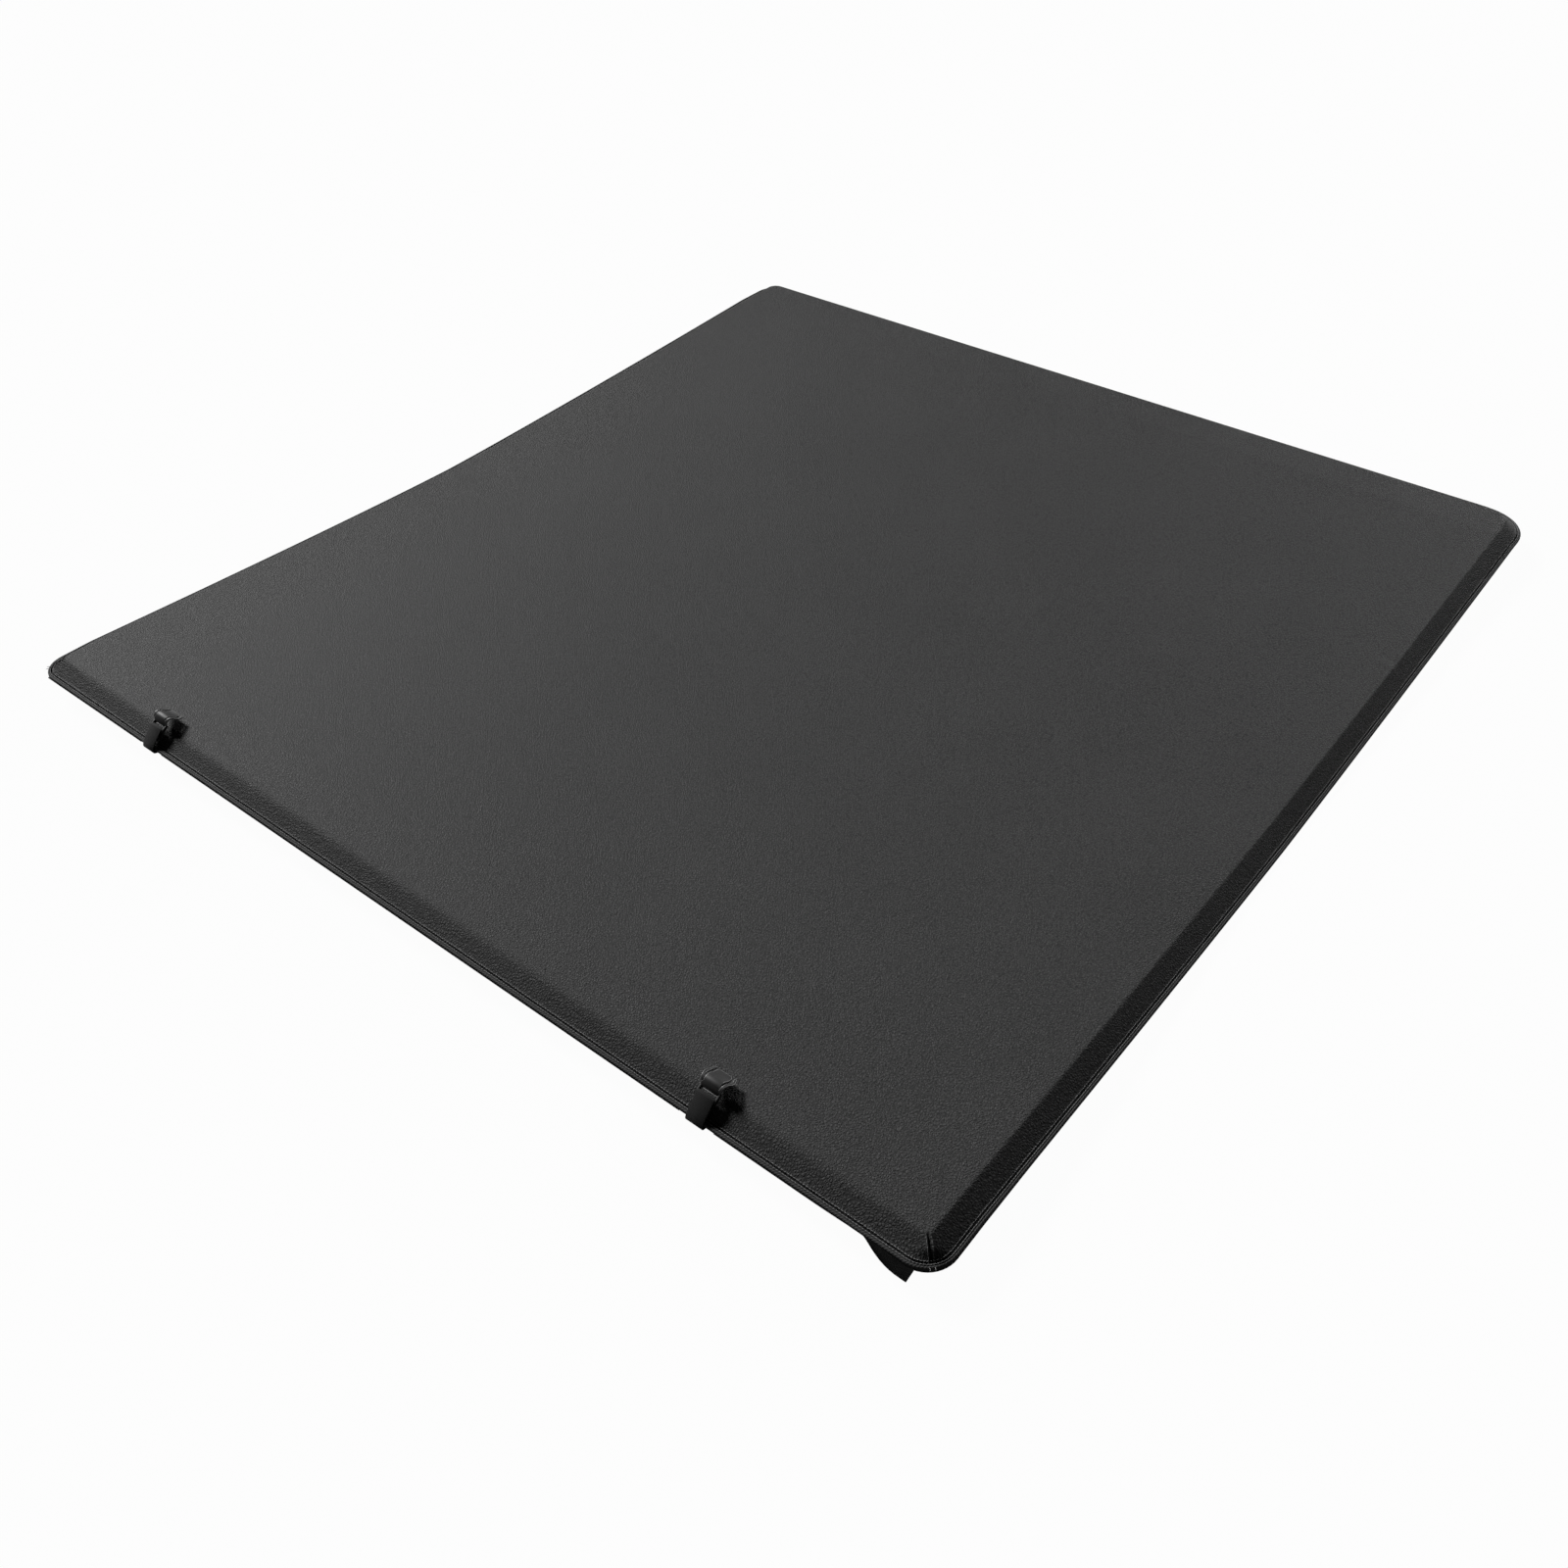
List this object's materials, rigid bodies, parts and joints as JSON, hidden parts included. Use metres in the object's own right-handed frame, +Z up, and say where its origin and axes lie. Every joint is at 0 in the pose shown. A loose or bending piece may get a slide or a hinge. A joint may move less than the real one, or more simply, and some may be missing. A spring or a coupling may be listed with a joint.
{
  "type": "roll-up pickup bed cover",
  "caption": "Soft vinyl roll-up bed cover with hemmed sloping border, end bars, bows and storage straps, laid flat.",
  "frame": {"origin": "centre of the footprint, on the surface that the end bars' seals stand on", "axes": "+X across the bed to the right, +Y from the cab edge to the tailgate edge, +Z up"},
  "size_m": [1.58, 1.703, 0.0659],
  "materials": {
    "vinyl": "leather-grain PVC coated fabric, satin",
    "binding": "folded edge tape, stitched",
    "loop": "loop fastener pile",
    "bar": "black powder coat",
    "bow": "mill finish",
    "plug": "moulded nylon",
    "rubber": "extruded bulb seal",
    "webbing": "woven polyester webbing",
    "buckle": "moulded acetal",
    "fastener": "black zinc"
  },
  "bodies": {
    "header": {"header_skin": "vinyl", "header_binding": "binding", "header_loop": "loop", "header_bar": "bar", "header_plugs": "plug", "header_seal": "rubber", "cab_flaps": "vinyl", "strap_plates": "fastener", "strap_screws": "fastener", "strap_roots": "webbing"},
    "fold_01": {"skin_01": "vinyl", "binding_01": "binding", "loop_01": "loop", "bow_01": "bow", "bow_caps_01": "plug"},
    "fold_02": {"skin_02": "vinyl", "binding_02": "binding", "loop_02": "loop"},
    "fold_03": {"skin_03": "vinyl", "binding_03": "binding", "loop_03": "loop", "bow_03": "bow", "bow_caps_03": "plug"},
    "fold_04": {"skin_04": "vinyl", "binding_04": "binding", "loop_04": "loop"},
    "fold_05": {"skin_05": "vinyl", "binding_05": "binding", "loop_05": "loop", "bow_05": "bow", "bow_caps_05": "plug"},
    "fold_06": {"skin_06": "vinyl", "binding_06": "binding", "loop_06": "loop"},
    "fold_07": {"skin_07": "vinyl", "binding_07": "binding", "loop_07": "loop", "bow_07": "bow", "bow_caps_07": "plug"},
    "fold_08": {"skin_08": "vinyl", "binding_08": "binding", "loop_08": "loop"},
    "fold_09": {"skin_09": "vinyl", "binding_09": "binding", "loop_09": "loop"},
    "tail": {"tail_skin": "vinyl", "tail_binding": "binding", "tail_loop": "loop", "tail_bar": "bar", "tail_plugs": "plug", "tail_seal": "rubber"},
    "strap_left": {"strap_left": "webbing"},
    "buckle_left": {"buckle_left": "buckle"},
    "lower_strap_left": {"lower_strap_left": "webbing"},
    "lower_buckle_left": {"lower_buckle_left": "buckle"},
    "strap_right": {"strap_right": "webbing"},
    "buckle_right": {"buckle_right": "buckle"},
    "lower_strap_right": {"lower_strap_right": "webbing"},
    "lower_buckle_right": {"lower_buckle_right": "buckle"}
  },
  "joints": [
    {"name": "roll_up", "type": "hinge", "parent": "header", "child": "fold_01", "pos_m": [0, -0.654, 0.04222], "axis": [1, 0, 0], "range_deg": [0, 40]},
    {"name": "fold_02_turn", "type": "hinge", "parent": "fold_01", "child": "fold_02", "pos_m": [0, -0.434, 0.03191], "axis": [1, 0, 0], "range_deg": [0, 76]},
    {"name": "fold_03_turn", "type": "hinge", "parent": "fold_02", "child": "fold_03", "pos_m": [0, -0.23, 0.02415], "axis": [1, 0, 0], "range_deg": [0, 78]},
    {"name": "fold_04_turn", "type": "hinge", "parent": "fold_03", "child": "fold_04", "pos_m": [0, -0.042, 0.02042], "axis": [1, 0, 0], "range_deg": [0, 80]},
    {"name": "fold_05_turn", "type": "hinge", "parent": "fold_04", "child": "fold_05", "pos_m": [0, 0.13, 0.02423], "axis": [1, 0, 0], "range_deg": [0, 82]},
    {"name": "fold_06_turn", "type": "hinge", "parent": "fold_05", "child": "fold_06", "pos_m": [0, 0.286, 0.02912], "axis": [1, 0, 0], "range_deg": [0, 84]},
    {"name": "fold_07_turn", "type": "hinge", "parent": "fold_06", "child": "fold_07", "pos_m": [0, 0.426, 0.03423], "axis": [1, 0, 0], "range_deg": [0, 86]},
    {"name": "fold_08_turn", "type": "hinge", "parent": "fold_07", "child": "fold_08", "pos_m": [0, 0.55, 0.03921], "axis": [1, 0, 0], "range_deg": [0, 88]},
    {"name": "fold_09_turn", "type": "hinge", "parent": "fold_08", "child": "fold_09", "pos_m": [0, 0.658, 0.04385], "axis": [1, 0, 0], "range_deg": [0, 90]},
    {"name": "tail_turn", "type": "hinge", "parent": "fold_09", "child": "tail", "pos_m": [0, 0.75, 0.048], "axis": [1, 0, 0], "range_deg": [0, 130]},
    {"name": "strap_left_swing", "type": "hinge", "parent": "header", "child": "strap_left", "pos_m": [-0.504, -0.8524, 0.0276], "axis": [1, 0, 0], "range_deg": [0, 150]},
    {"name": "buckle_left_tilt", "type": "hinge", "parent": "strap_left", "child": "buckle_left", "pos_m": [-0.504, -0.831, 0.051], "axis": [1, 0, 0], "range_deg": [0, 60]},
    {"name": "lower_strap_left_swing", "type": "hinge", "parent": "header", "child": "lower_strap_left", "pos_m": [-0.504, -0.77623, 0.0154], "axis": [1, 0, 0], "range_deg": [-60, 8]},
    {"name": "lower_buckle_left_tilt", "type": "hinge", "parent": "lower_strap_left", "child": "lower_buckle_left", "pos_m": [-0.504, -0.734, 0.0056], "axis": [1, 0, 0], "range_deg": [-60, 12]},
    {"name": "strap_right_swing", "type": "hinge", "parent": "header", "child": "strap_right", "pos_m": [0.488, -0.8524, 0.0276], "axis": [1, 0, 0], "range_deg": [0, 150]},
    {"name": "buckle_right_tilt", "type": "hinge", "parent": "strap_right", "child": "buckle_right", "pos_m": [0.488, -0.831, 0.051], "axis": [1, 0, 0], "range_deg": [0, 60]},
    {"name": "lower_strap_right_swing", "type": "hinge", "parent": "header", "child": "lower_strap_right", "pos_m": [0.488, -0.77623, 0.0154], "axis": [1, 0, 0], "range_deg": [-60, 8]},
    {"name": "lower_buckle_right_tilt", "type": "hinge", "parent": "lower_strap_right", "child": "lower_buckle_right", "pos_m": [0.488, -0.734, 0.0056], "axis": [1, 0, 0], "range_deg": [-60, 12]}
  ],
  "couplings": [
    {"joint": "fold_02_turn", "follows": "roll_up", "ratio": 1.9},
    {"joint": "fold_03_turn", "follows": "roll_up", "ratio": 1.95},
    {"joint": "fold_04_turn", "follows": "roll_up", "ratio": 2},
    {"joint": "fold_05_turn", "follows": "roll_up", "ratio": 2.05},
    {"joint": "fold_06_turn", "follows": "roll_up", "ratio": 2.1},
    {"joint": "fold_07_turn", "follows": "roll_up", "ratio": 2.15},
    {"joint": "fold_08_turn", "follows": "roll_up", "ratio": 2.2},
    {"joint": "fold_09_turn", "follows": "roll_up", "ratio": 2.25},
    {"joint": "tail_turn", "follows": "roll_up", "ratio": 3.25}
  ]
}
